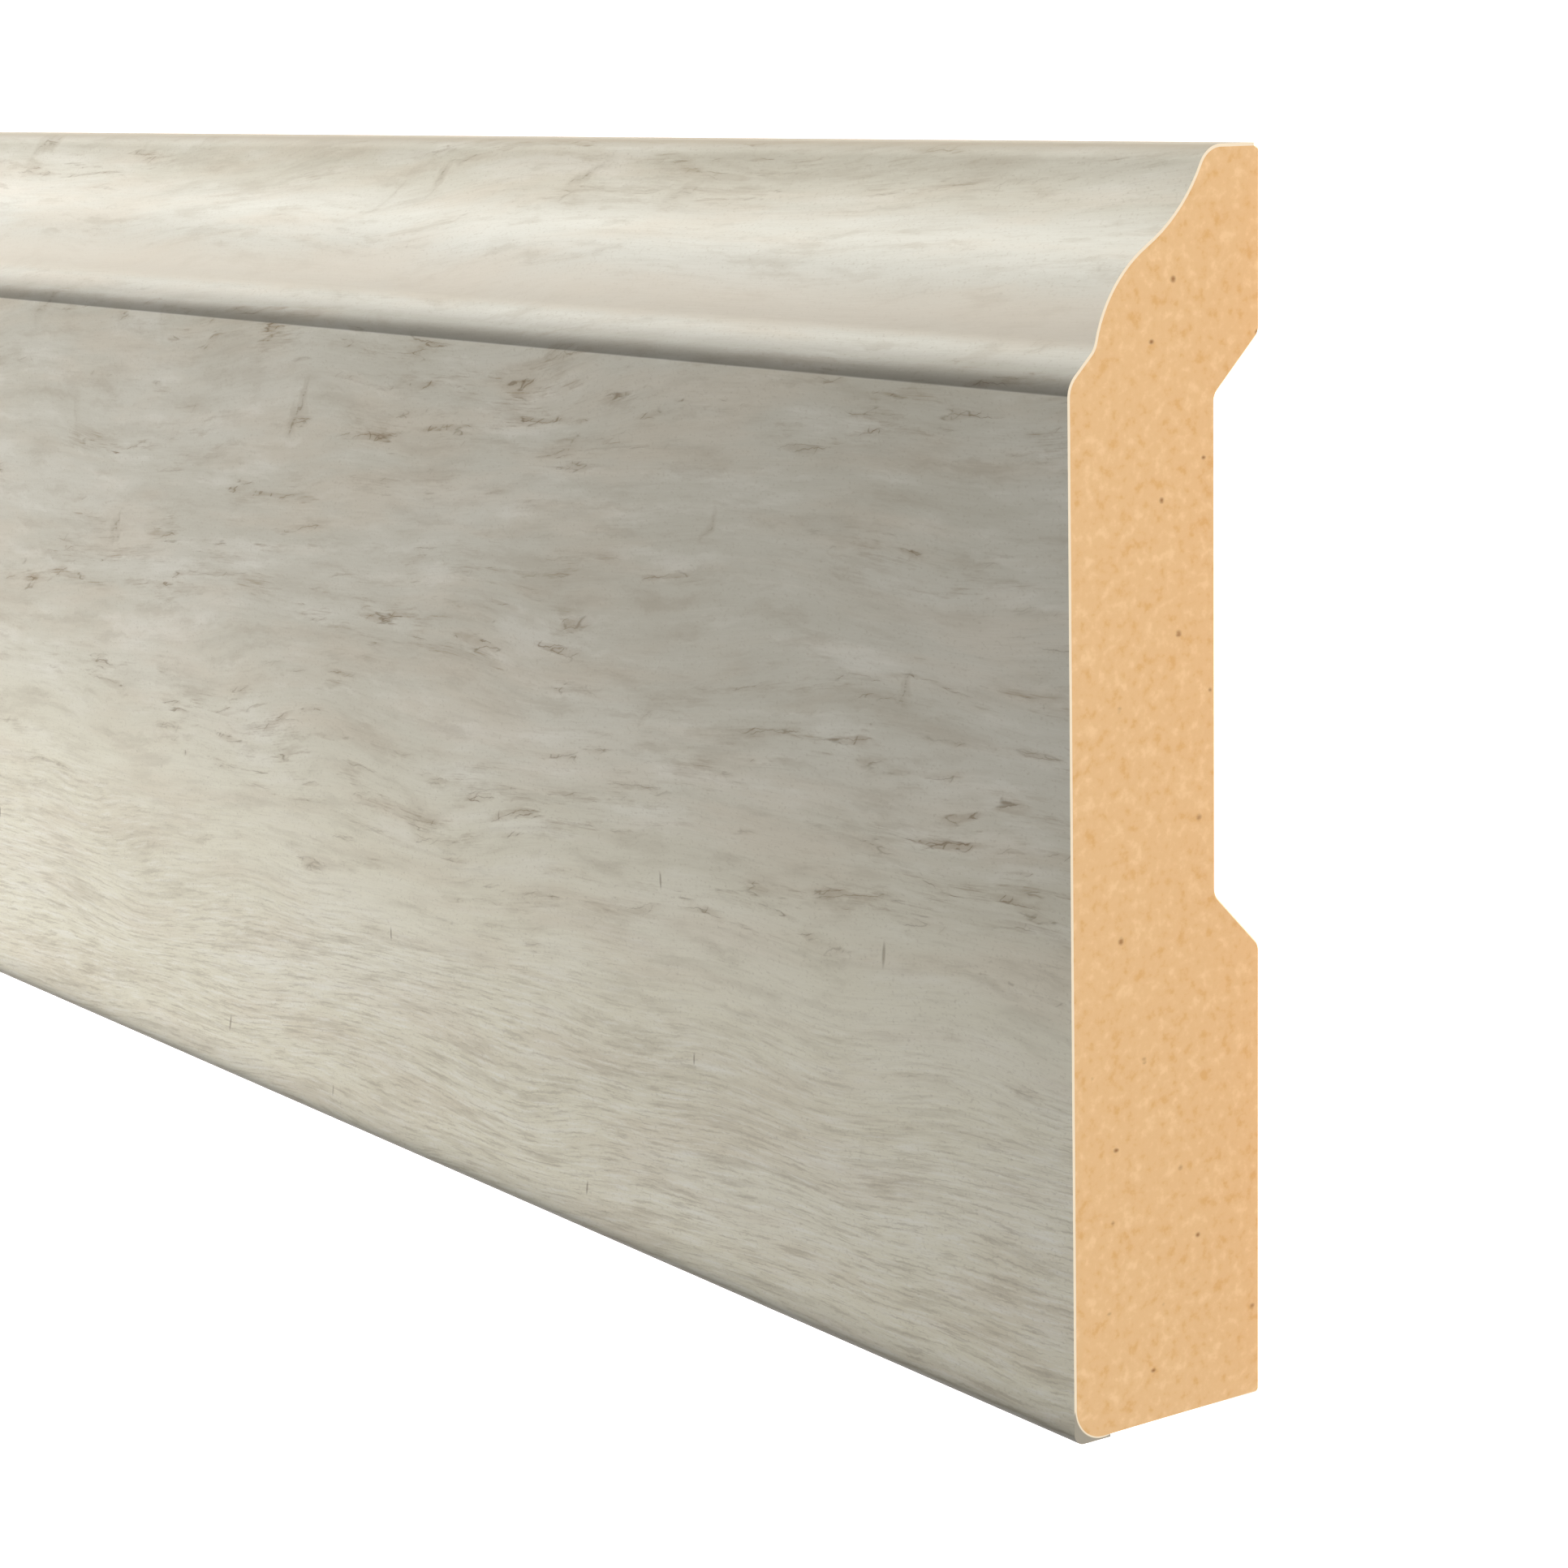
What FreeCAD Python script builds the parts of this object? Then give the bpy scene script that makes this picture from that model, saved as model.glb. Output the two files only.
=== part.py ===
# Skirting board length: a moulded fibreboard core with a printed decor wrap.
#
# The board lies on its back. X runs along its length, +Y points at the moulded top edge
# and +Z at the decor side. The origin is midway along and across, on the plane of the back.

import FreeCAD
import Part
import Sketcher

import math
import os

# points of a line or arc, as a sketch's constraints number them
START, END, CENTRE = range(1, 4)

doc = FreeCAD.newDocument("SkirtingBoard")

# Driving dimensions, in millimetres and degrees
DIMENSIONS = [
    # 94 in stock length, 3 1/4 in by 5/8 in over the wrap
    ("board_length", 2387.6),
    ("board_height", 82.55),
    ("board_thickness", 15.875),
    # printed decor wrap
    ("wrap_thickness", 0.2),
    ("wrap_return", 3.0),
    ("wrap_back_margin", 0.5),
    # ogee moulding at the top edge, as measured over the wrap
    ("nosing_setback", 12.6),
    ("nosing_radius", 1.95),
    ("hollow_radius", 11.65),
    ("belly_radius", 9.25),
    ("belly_setback", 2.0),
    ("belly_drop", 13.95),
    ("quirk_radius", 1.5),
    ("lip_drop", 15.3),
    ("lip_angle", 45.0),
    ("lip_radius", 2.0),
    # corner at the bottom of the flat face: the core is rounded more than the wrap over it
    ("wrap_foot_radius", 0.8),
    ("core_foot_radius", 2.2),
    # relief ploughed into the back, between two flat pads
    ("lower_pad_width", 30.2),
    ("upper_pad_width", 11.6),
    ("relief_depth", 3.8),
    ("relief_wall_angle", 45.0),
    ("relief_radius", 1.0),
    ("back_arris_radius", 0.3),
]

sheet = doc.addObject("Spreadsheet::Sheet", "Sizes")
for row, (alias, number) in enumerate(DIMENSIONS, start=1):
    sheet.set("A%d" % row, alias)
    sheet.set("B%d" % row, str(number))
    sheet.setAlias("B%d" % row, alias)
doc.recompute()


def size(alias):
    """A driving dimension's value, for the first placing of a sketch's lines."""
    return float(getattr(sheet, alias))


def new_body(label):
    """An empty body, and a sketch on its own YZ plane: sketch x is the row's Y, sketch y its Z."""
    body = doc.addObject("PartDesign::Body", label)
    body.Label = label
    sketch = body.newObject("Sketcher::SketchObject", label + "_section")
    plane = [f for f in body.Origin.OriginFeatures if f.Role == "YZ_Plane"][0]
    sketch.AttachmentSupport = [(plane, "")]
    sketch.MapMode = "FlatFace"
    return body, sketch


def point(x, y):
    return FreeCAD.Vector(x, y, 0)


def polar(centre, radius, angle):
    """The point at an angle, in degrees, on a circle."""
    turn = math.radians(angle)
    return centre + point(radius * math.cos(turn), radius * math.sin(turn))


def add_line(sketch, start, end):
    return sketch.addGeometry(Part.LineSegment(start, end), False)


def add_arc(sketch, centre, radius, first_angle, last_angle):
    """An arc that runs anticlockwise between two angles, in degrees."""
    circle = Part.Circle(centre, FreeCAD.Vector(0, 0, 1), radius)
    arc = Part.ArcOfCircle(circle, math.radians(first_angle), math.radians(last_angle))
    return sketch.addGeometry(arc, False)


def bind(sketch, constraint, expression):
    """Add a dimension to a sketch and tie its value to an expression of the sheet's cells."""
    index = sketch.addConstraint(constraint)
    sketch.setExpression("Constraints[%d]" % index, expression)


def join_smooth(sketch, first, first_end, second, second_end):
    """Two neighbours meet at their ends with no corner."""
    sketch.addConstraint(Sketcher.Constraint("Tangent", first, first_end, second, second_end))


def join_sharp(sketch, first, first_end, second, second_end):
    """Two neighbours meet at their ends in a corner."""
    sketch.addConstraint(Sketcher.Constraint("Coincident", first, first_end, second, second_end))


def set_x(sketch, line, end, value, expression):
    """Hold a point at a signed distance across the board from its mid-height."""
    bind(sketch, Sketcher.Constraint("DistanceX", -1, START, line, end, value), expression)


def set_y(sketch, line, end, value, expression):
    """Hold a point at a height over the plane of the back."""
    bind(sketch, Sketcher.Constraint("DistanceY", -1, START, line, end, value), expression)


def set_radius(sketch, arc, value, expression):
    bind(sketch, Sketcher.Constraint("Radius", arc, value), expression)


def end_point(sketch, line, end):
    """Where a drawn line starts or ends."""
    corner = sketch.getPoint(line, end)
    return point(corner.x, corner.y)


def pad_along_board(body, sketch):
    """Run a section along the board, as far each way from the middle."""
    pad = body.newObject("PartDesign::Pad", body.Label + "_length")
    pad.Profile = sketch
    pad.SideType = "Symmetric"
    pad.setExpression("Length", "Sizes.board_length")
    sketch.Visibility = False


def decor_path(sketch, depth, depth_expression, foot_alias, foot_line_end, foot_line_expression,
               top_line_end, top_line_expression):
    """Draw the moulded side at a depth below the decor surface, from the foot to the top edge.

    The outer surface has depth 0 and the core's own surface the depth of the wrap. Every arc
    of the ogee keeps its centre, so the two run parallel there, and the corner at the foot has
    the radius of its own cell. The return value is the line along the bottom edge and the line
    along the top edge, whose free ends are at the given heights.
    """
    half = size("board_height") / 2
    thick = size("board_thickness")
    lip_turn = size("lip_angle")

    # foot: bottom edge, rounded corner and flat face
    foot_bend = size(foot_alias)
    foot_centre = point(-half + depth + foot_bend, thick - depth - foot_bend)
    foot_start = polar(foot_centre, foot_bend, 180)
    foot_line = add_line(sketch, point(foot_start.x, foot_line_end), foot_start)
    foot_arc = add_arc(sketch, foot_centre, foot_bend, 90, 180)

    # lip: small round from the face into a slope
    lip_centre = point(half - size("lip_drop"), thick - size("lip_radius"))
    lip_bend = size("lip_radius") - depth
    face_line = add_line(sketch, polar(foot_centre, foot_bend, 90),
                         polar(lip_centre, lip_bend, 90))
    lip_arc = add_arc(sketch, lip_centre, lip_bend, 90 - lip_turn, 90)
    lip_end = polar(lip_centre, lip_bend, 90 - lip_turn)

    # belly: the ogee's convex part
    belly_centre = point(half - size("belly_drop"),
                         thick - size("belly_setback") - size("belly_radius"))
    belly_bend = size("belly_radius") - depth

    # quirk: the small hollow between the lip's slope and the belly
    quirk_bend = size("quirk_radius") + depth
    slope = point(math.cos(math.radians(lip_turn)), -math.sin(math.radians(lip_turn)))
    outward = point(-slope.y, slope.x)
    offset = (belly_centre - lip_end).dot(outward)
    reach = math.sqrt((belly_bend + quirk_bend) ** 2 - (quirk_bend - offset) ** 2)
    quirk_foot = lip_end + slope * ((belly_centre - lip_end).dot(slope) - reach)
    quirk_centre = quirk_foot + outward * quirk_bend
    toward_quirk = quirk_centre - belly_centre
    belly_first = math.degrees(math.atan2(toward_quirk.y, toward_quirk.x))
    lip_line = add_line(sketch, lip_end, quirk_foot)
    quirk_arc = add_arc(sketch, quirk_centre, quirk_bend, 270 - lip_turn, belly_first + 180)

    # hollow: the ogee's concave part, tangent to the belly and to the nosing
    nosing_centre = point(half - size("nosing_radius"), thick - size("nosing_setback"))
    nosing_bend = size("nosing_radius") - depth
    hollow_bend = size("hollow_radius") + depth
    span = nosing_centre - belly_centre
    belly_reach = belly_bend + hollow_bend
    nosing_reach = nosing_bend + hollow_bend
    cosine = (belly_reach ** 2 + span.Length ** 2 - nosing_reach ** 2) / (
        2 * belly_reach * span.Length)
    belly_last = math.degrees(math.atan2(span.y, span.x) + math.acos(cosine))
    hollow_centre = polar(belly_centre, belly_reach, belly_last)
    toward_hollow = hollow_centre - nosing_centre
    nosing_last = math.degrees(math.atan2(toward_hollow.y, toward_hollow.x))
    belly_arc = add_arc(sketch, belly_centre, belly_bend, belly_last, belly_first)
    hollow_arc = add_arc(sketch, hollow_centre, hollow_bend, belly_last + 180, nosing_last + 180)
    nosing_arc = add_arc(sketch, nosing_centre, nosing_bend, 0, nosing_last)
    nosing_end = polar(nosing_centre, nosing_bend, 0)
    top_line = add_line(sketch, nosing_end, point(nosing_end.x, top_line_end))

    join_smooth(sketch, foot_line, END, foot_arc, END)
    join_smooth(sketch, foot_arc, START, face_line, START)
    join_smooth(sketch, face_line, END, lip_arc, END)
    join_smooth(sketch, lip_arc, START, lip_line, START)
    join_smooth(sketch, lip_line, END, quirk_arc, START)
    join_smooth(sketch, quirk_arc, END, belly_arc, END)
    join_smooth(sketch, belly_arc, START, hollow_arc, START)
    join_smooth(sketch, hollow_arc, END, nosing_arc, END)
    join_smooth(sketch, nosing_arc, START, top_line, START)

    sketch.addConstraint(Sketcher.Constraint("Vertical", foot_line))
    sketch.addConstraint(Sketcher.Constraint("Horizontal", face_line))
    sketch.addConstraint(Sketcher.Constraint("Vertical", top_line))

    radii = [
        (foot_arc, foot_bend, "Sizes." + foot_alias),
        (lip_arc, lip_bend, "Sizes.lip_radius - " + depth_expression),
        (quirk_arc, quirk_bend, "Sizes.quirk_radius + " + depth_expression),
        (belly_arc, belly_bend, "Sizes.belly_radius - " + depth_expression),
        (hollow_arc, hollow_bend, "Sizes.hollow_radius + " + depth_expression),
        (nosing_arc, nosing_bend, "Sizes.nosing_radius - " + depth_expression),
    ]
    for arc, radius, expression in radii:
        set_radius(sketch, arc, radius, expression)

    set_x(sketch, foot_line, START, foot_start.x,
          "-Sizes.board_height / 2 + " + depth_expression)
    set_y(sketch, foot_line, START, foot_line_end, foot_line_expression)
    set_y(sketch, face_line, START, thick - depth,
          "Sizes.board_thickness - " + depth_expression)
    set_x(sketch, lip_arc, CENTRE, lip_centre.x,
          "Sizes.board_height / 2 - Sizes.lip_drop")
    bind(sketch, Sketcher.Constraint("Angle", lip_line, START, -1, START, math.radians(lip_turn)),
         "Sizes.lip_angle")
    set_x(sketch, belly_arc, CENTRE, belly_centre.x,
          "Sizes.board_height / 2 - Sizes.belly_drop")
    set_y(sketch, belly_arc, CENTRE, belly_centre.y,
          "Sizes.board_thickness - Sizes.belly_setback - Sizes.belly_radius")
    set_y(sketch, nosing_arc, CENTRE, nosing_centre.y,
          "Sizes.board_thickness - Sizes.nosing_setback")
    set_x(sketch, top_line, END, nosing_end.x,
          "Sizes.board_height / 2 - " + depth_expression)
    set_y(sketch, top_line, END, top_line_end, top_line_expression)
    return foot_line, top_line


def make_core():
    """The fibreboard core: the moulded side under the wrap, and a relieved back on two pads."""
    body, sketch = new_body("mdf_core")
    half = size("board_height") / 2
    wrap = size("wrap_thickness")
    arris = size("back_arris_radius")
    depth = size("relief_depth")
    radius = size("relief_radius")
    turn = size("relief_wall_angle")

    foot_line, top_line = decor_path(
        sketch, wrap, "Sizes.wrap_thickness", "core_foot_radius",
        arris, "Sizes.back_arris_radius", arris, "Sizes.back_arris_radius")

    # relief, seen from the lower pad to the upper one, with rounded corners
    rise = radius * (1 - math.cos(math.radians(turn)))
    run = radius * math.sin(math.radians(turn))
    wall_run = (depth - 2 * rise) / math.tan(math.radians(turn))
    lower_pad_end = point(-half + size("lower_pad_width"), 0)
    upper_pad_end = point(half - size("upper_pad_width"), 0)
    lower_edge = lower_pad_end + point(0, radius)
    upper_edge = upper_pad_end + point(0, radius)
    lower_corner = lower_pad_end + point(2 * run + wall_run, depth - radius)
    upper_corner = upper_pad_end + point(-2 * run - wall_run, depth - radius)

    lower_arris = add_arc(sketch, point(-half + wrap + arris, arris), arris, 180, 270)
    lower_pad = add_line(sketch, point(-half + wrap + arris, 0), lower_pad_end)
    lower_edge_arc = add_arc(sketch, lower_edge, radius, 270, 270 + turn)
    lower_wall = add_line(sketch, polar(lower_edge, radius, 270 + turn),
                          polar(lower_corner, radius, 90 + turn))
    lower_corner_arc = add_arc(sketch, lower_corner, radius, 90, 90 + turn)
    recess = add_line(sketch, polar(lower_corner, radius, 90), polar(upper_corner, radius, 90))
    upper_corner_arc = add_arc(sketch, upper_corner, radius, 90 - turn, 90)
    upper_wall = add_line(sketch, polar(upper_corner, radius, 90 - turn),
                          polar(upper_edge, radius, 270 - turn))
    upper_edge_arc = add_arc(sketch, upper_edge, radius, 270 - turn, 270)
    upper_pad = add_line(sketch, upper_pad_end, point(half - wrap - arris, 0))
    upper_arris = add_arc(sketch, point(half - wrap - arris, arris), arris, 270, 360)

    join_smooth(sketch, foot_line, START, lower_arris, START)
    join_smooth(sketch, lower_arris, END, lower_pad, START)
    join_smooth(sketch, lower_pad, END, lower_edge_arc, START)
    join_smooth(sketch, lower_edge_arc, END, lower_wall, START)
    join_smooth(sketch, lower_wall, END, lower_corner_arc, END)
    join_smooth(sketch, lower_corner_arc, START, recess, START)
    join_smooth(sketch, recess, END, upper_corner_arc, END)
    join_smooth(sketch, upper_corner_arc, START, upper_wall, START)
    join_smooth(sketch, upper_wall, END, upper_edge_arc, START)
    join_smooth(sketch, upper_edge_arc, END, upper_pad, START)
    join_smooth(sketch, upper_pad, END, upper_arris, START)
    join_smooth(sketch, upper_arris, END, top_line, END)

    sketch.addConstraint(Sketcher.Constraint("PointOnObject", lower_pad, START, -1))
    sketch.addConstraint(Sketcher.Constraint("Horizontal", lower_pad))
    sketch.addConstraint(Sketcher.Constraint("PointOnObject", upper_pad, START, -1))
    sketch.addConstraint(Sketcher.Constraint("Horizontal", upper_pad))
    sketch.addConstraint(Sketcher.Constraint("Horizontal", recess))
    for arc in (lower_edge_arc, lower_corner_arc, upper_corner_arc, upper_edge_arc):
        set_radius(sketch, arc, radius, "Sizes.relief_radius")
    set_x(sketch, lower_pad, END, lower_pad_end.x,
          "-Sizes.board_height / 2 + Sizes.lower_pad_width")
    set_x(sketch, upper_pad, START, upper_pad_end.x,
          "Sizes.board_height / 2 - Sizes.upper_pad_width")
    set_y(sketch, recess, START, depth, "Sizes.relief_depth")
    bind(sketch, Sketcher.Constraint("Angle", -1, START, lower_wall, START, math.radians(turn)),
         "Sizes.relief_wall_angle")
    bind(sketch, Sketcher.Constraint("Angle", upper_wall, START, -1, START, math.radians(turn)),
         "Sizes.relief_wall_angle")
    pad_along_board(body, sketch)
    return body


def make_wrap():
    """The printed decor wrap: one thin skin from under the foot to the back of the top edge.

    It stands off the core's rounder corner at the foot, on a bead of its glue.
    """
    body, sketch = new_body("decor_wrap")
    return_end = size("board_thickness") - size("wrap_return")
    return_expression = "Sizes.board_thickness - Sizes.wrap_return"
    margin = size("wrap_back_margin")
    margin_expression = "Sizes.wrap_back_margin"

    outer_foot, outer_top = decor_path(
        sketch, 0.0, "0", "wrap_foot_radius",
        return_end, return_expression, margin, margin_expression)
    inner_foot, inner_top = decor_path(
        sketch, size("wrap_thickness"), "Sizes.wrap_thickness", "core_foot_radius",
        return_end, return_expression, margin, margin_expression)

    foot_edge = add_line(sketch, end_point(sketch, outer_foot, START),
                         end_point(sketch, inner_foot, START))
    top_edge = add_line(sketch, end_point(sketch, outer_top, END),
                        end_point(sketch, inner_top, END))
    join_sharp(sketch, foot_edge, START, outer_foot, START)
    join_sharp(sketch, foot_edge, END, inner_foot, START)
    join_sharp(sketch, top_edge, START, outer_top, END)
    join_sharp(sketch, top_edge, END, inner_top, END)
    pad_along_board(body, sketch)
    return body


bodies = [make_core(), make_wrap()]
doc.recompute()

for item in doc.Objects:
    for problem in ("Invalid", "Error"):
        if problem in item.State:
            raise RuntimeError("%s: %s" % (item.Name, problem))
for item in doc.findObjects("Sketcher::SketchObject"):
    if not item.FullyConstrained:
        raise RuntimeError("%s is not fully constrained" % item.Name)

os.makedirs("parts", exist_ok=True)
for body in bodies:
    shape = body.Shape
    if shape.isNull() or not shape.isValid() or len(shape.Solids) != 1:
        raise RuntimeError("%s is not one valid solid" % body.Label)
    shape.exportStep("parts/%s.step" % body.Label)
    box = shape.BoundBox
    print("%s volume %.1f mm3, X %.2f..%.2f, Y %.3f..%.3f, Z %.3f..%.3f" % (
        body.Label, shape.Volume, box.XMin, box.XMax, box.YMin, box.YMax, box.ZMin, box.ZMax))
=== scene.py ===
"""Skirting board length: the looks of its fibreboard core and of its printed decor wrap."""

import math

import bpy
from bpy.props import FloatProperty, FloatVectorProperty, IntProperty, PointerProperty
from mathutils import Matrix, Vector


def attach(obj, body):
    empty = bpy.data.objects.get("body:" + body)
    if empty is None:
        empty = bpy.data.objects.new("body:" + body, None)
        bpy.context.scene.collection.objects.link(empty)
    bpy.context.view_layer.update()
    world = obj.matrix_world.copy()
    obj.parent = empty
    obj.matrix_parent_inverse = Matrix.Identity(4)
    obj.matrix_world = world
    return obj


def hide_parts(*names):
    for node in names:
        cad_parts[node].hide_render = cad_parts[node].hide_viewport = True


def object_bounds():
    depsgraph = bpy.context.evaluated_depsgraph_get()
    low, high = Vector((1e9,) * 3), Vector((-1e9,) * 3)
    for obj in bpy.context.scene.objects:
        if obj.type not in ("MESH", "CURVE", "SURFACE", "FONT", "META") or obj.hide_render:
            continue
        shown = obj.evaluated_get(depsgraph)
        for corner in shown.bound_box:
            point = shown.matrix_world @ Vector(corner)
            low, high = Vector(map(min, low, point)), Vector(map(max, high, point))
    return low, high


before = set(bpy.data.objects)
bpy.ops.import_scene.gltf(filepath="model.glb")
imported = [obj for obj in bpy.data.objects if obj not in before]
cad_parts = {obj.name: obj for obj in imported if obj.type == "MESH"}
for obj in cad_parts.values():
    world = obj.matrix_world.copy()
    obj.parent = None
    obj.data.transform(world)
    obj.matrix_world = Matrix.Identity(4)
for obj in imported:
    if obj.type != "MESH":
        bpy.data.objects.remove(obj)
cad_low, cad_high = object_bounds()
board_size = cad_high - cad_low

bl_info = {
    "name": "Skirting board length",
    "version": (1, 0, 0),
    "blender": (4, 5, 0),
    "location": "3D View > Sidebar > Skirting",
    "description": "Dresses a wrapped skirting board length, and sets its floor, lights and camera",
    "category": "Object",
}

MM = 0.001
# an arc has a point about every so many degrees, and a straight about every so many metres
ARC_STEP = 4.0
STRAIGHT_STEP = 4 * MM
# points nearer than this are one point
SAME_PLACE = 1e-6
# edges that bend more than this stay sharp
SHARP_ANGLE = math.radians(28)
# patterns are measured in millimetres, and the frame in metres
PER_METRE = 1000
# the names that the mesh keeps its print's coordinates and its sawn faces under
PRINT_MAP = "print_map"
SAWN_FACES = "sawn_faces"
# sockets of the Mix node, by its kind of data
NUMBER_A, NUMBER_B, VECTOR_A, VECTOR_B, COLOUR_A, COLOUR_B = range(2, 8)
VECTOR_RESULT, COLOUR_RESULT = 1, 2


def hex_colour(code):
    """An sRGB hex value as linear red, green, blue and alpha."""
    channels = [int(code[k:k + 2], 16) / 255 for k in (0, 2, 4)]
    linear = [c / 12.92 if c <= 0.04045 else ((c + 0.055) / 1.055) ** 2.4 for c in channels]
    return (*linear, 1.0)


def colour_property(name, description, code):
    """A colour that the sidebar shows, with a hex value as its default."""
    return FloatVectorProperty(name=name, description=description, default=hex_colour(code),
                               size=4, subtype="COLOR", min=0.0, max=1.0)


def length_property(name, description, metres):
    """A length that the sidebar shows in the scene's own unit."""
    return FloatProperty(name=name, description=description, default=metres, unit="LENGTH",
                         precision=5)


def angle_property(name, description, degrees):
    """An angle that the sidebar shows in degrees."""
    return FloatProperty(name=name, description=description, default=math.radians(degrees),
                         subtype="ANGLE")


def brightness_property(name, description, value, unit="NONE"):
    """How bright a thing is, from nought up, and in watts where its unit is power."""
    return FloatProperty(name=name, description=description, default=value, min=0.0, unit=unit)


class SectionSizes(bpy.types.PropertyGroup):
    """Sizes of the board and of its section, over the wrap."""

    board_length: length_property("Board length", "From one sawn end to the other", board_size.x)
    board_height: length_property("Board height", "From bottom edge to top edge", board_size.y)
    board_thickness: length_property("Board thickness", "From back pads to face", board_size.z)
    wrap_thickness: length_property("Wrap thickness", "Decor paper with its lacquer", 0.2 * MM)
    wrap_return: length_property("Wrap return", "How far the wrap turns under the foot", 3.0 * MM)
    wrap_back_margin: length_property("Wrap back margin", "From its top end to the back", 0.5 * MM)
    nosing_setback: length_property("Nosing setback", "Centre behind the flat face", 12.6 * MM)
    nosing_radius: length_property("Nosing radius", "Round at the top edge", 1.95 * MM)
    hollow_radius: length_property("Hollow radius", "Concave part of the ogee", 11.65 * MM)
    belly_radius: length_property("Belly radius", "Convex part of the ogee", 9.25 * MM)
    belly_setback: length_property("Belly setback", "Belly's crown behind the flat face", 2.0 * MM)
    belly_drop: length_property("Belly drop", "Belly's centre below the top edge", 13.95 * MM)
    quirk_radius: length_property("Quirk radius", "Small hollow between lip and belly", 1.5 * MM)
    lip_drop: length_property("Lip drop", "Lip's centre below the top edge", 15.3 * MM)
    lip_angle: angle_property("Lip angle", "Slope behind the lip, from the face", 45)
    lip_radius: length_property("Lip radius", "Round between face and lip slope", 2.0 * MM)
    wrap_foot_radius: length_property("Wrap foot radius", "Wrap's corner at the foot", 0.8 * MM)
    core_foot_radius: length_property("Core foot radius", "Core's corner at the foot", 2.2 * MM)
    lower_pad_width: length_property("Lower pad width", "Flat below the back relief", 30.2 * MM)
    upper_pad_width: length_property("Upper pad width", "Flat above the back relief", 11.6 * MM)
    relief_depth: length_property("Relief depth", "Depth of the plough in the back", 3.8 * MM)
    relief_wall_angle: angle_property("Relief wall angle", "Slope of the plough's walls", 45)
    relief_radius: length_property("Relief radius", "Rounds of the plough", 1.0 * MM)
    back_arris_radius: length_property("Back arris radius", "Rounded back corners", 0.3 * MM)
    sawn_easing: length_property("Sawn easing", "Bevel sanded on a sawn back edge", 0.14 * MM)
    spans: IntProperty(name="Spans", description="Stretches that the length is divided into",
                       default=24, min=1)


class DecorLook(bpy.types.PropertyGroup):
    """Colours of the printed decor, and of the light and shade painted on it."""

    ground: colour_property("Ground", "Greige under everything", "C3BEAE")
    limewash: colour_property("Limewash", "Whitewash left thick", "EFECE3")
    bare: colour_property("Bare wood", "Beige wood under thin limewash", "A3967F")
    blush: colour_property("Blush", "Warmer wood that shows through", "D1C2AC")
    streak: colour_property("Streak", "Brown in torn patches", "8A6F45")
    crack: colour_property("Crack", "Dirt in cracks and ticks", "6E5A34")
    combed: colour_property("Combed grain", "Ground of the plain grain", "E2DCC6")
    # painted highlight: the belly's print is paled where the ogee catches the light
    belly: colour_property("Belly highlight", "Limewash painted pale on the ogee as a highlight", "D2CFC2")
    # painted light: the quirk's print is paled against the shade in its hollow
    quirk: colour_property("Quirk", "Pale limewash as painted light in the quirk", "F3E9D8")
    # painted shade under the lip, on the nosing and at the foot
    painted_shade: colour_property("Painted shade", "Dark glaze under the lip, on the nosing and at the foot", "46423A")
    cut_edge: colour_property("Cut edge", "Paper core at the wrap's sawn edge", "F0DFC4")
    glue_bead: colour_property("Glue bead", "Glue and foil at the foot's sawn corner", "9C9586")


class CoreLook(bpy.types.PropertyGroup):
    """Colours of the fibreboard, and of a highlight painted along its sawn edge."""

    ground: colour_property("Ground", "Pressed fibre, sawn", "E1B886")
    pale_fibre: colour_property("Pale fibre", "Bundles of clean fibre", "EEC999")
    dark_fibre: colour_property("Dark fibre", "Resin-rich clumps", "D9A96F")
    speck: colour_property("Speck", "Bark specks", "8C5E34")
    # pale fibre and fuzz of the saw cut; along the sawn edge also a painted highlight
    fuzz_and_edge_highlight: colour_property("Rim and highlight", "Fuzzy saw cut, and a painted highlight on its edge", "FBE6C6")
    planed: colour_property("Planed face", "Back and relief, planed", "C99F6D")


class StageLook(bpy.types.PropertyGroup):
    """Floor, lights and camera."""

    floor_size: length_property("Floor size", "Side of the square floor", 60.0)
    floor: colour_property("Floor", "Matt white floor", "F4F4F2")
    floor_glow: brightness_property("Floor glow", "Light from under the floor", 1.0)
    horizon: brightness_property("Horizon", "Brightness of the room low down", 1.0)
    ceiling: brightness_property("Ceiling", "Brightness of the room overhead", 0.0)
    top_light: brightness_property("Top light", "Strip softbox close over the board", 2.1, "POWER")
    high_light: brightness_property("High light", "Softbox high over the board", 1.5, "POWER")
    edge_light: brightness_property("Edge light", "Softbox low beyond the top edge", 6.5, "POWER")
    end_light: brightness_property("End light", "Softbox that faces the sawn end", 1.5, "POWER")
    lens: FloatProperty(name="Lens", description="Focal length in millimetres", default=88.26)
    frame_shift: FloatProperty(name="Frame shift", description="Vertical shift of the lens",
                               default=-0.1)
    camera_ahead: length_property("Camera ahead", "Beyond the near sawn end", 182.9 * MM)
    camera_above: length_property("Camera above", "Over the plane of the back pads", 166.2 * MM)
    camera_up: length_property("Camera up", "Towards the top edge from mid-height", 46.5 * MM)
    camera_yaw: angle_property("Camera yaw", "From along the board to the face", 35.133)
    camera_pitch: angle_property("Camera pitch", "Towards the bottom edge", 8.288)
    camera_roll: angle_property("Camera roll", "Turn about the line of sight", 1.015)


def add(tree, kind, inputs, out=0, **settings):
    """Add a node with its settings, set or link its inputs, and return one of its outputs."""
    made = tree.nodes.new(kind)
    for setting, value in settings.items():
        setattr(made, setting, value)
    for socket, value in inputs.items():
        if isinstance(value, bpy.types.NodeSocket):
            tree.links.new(value, made.inputs[socket])
        else:
            made.inputs[socket].default_value = value
    return made.outputs[out] if made.outputs else made


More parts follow.
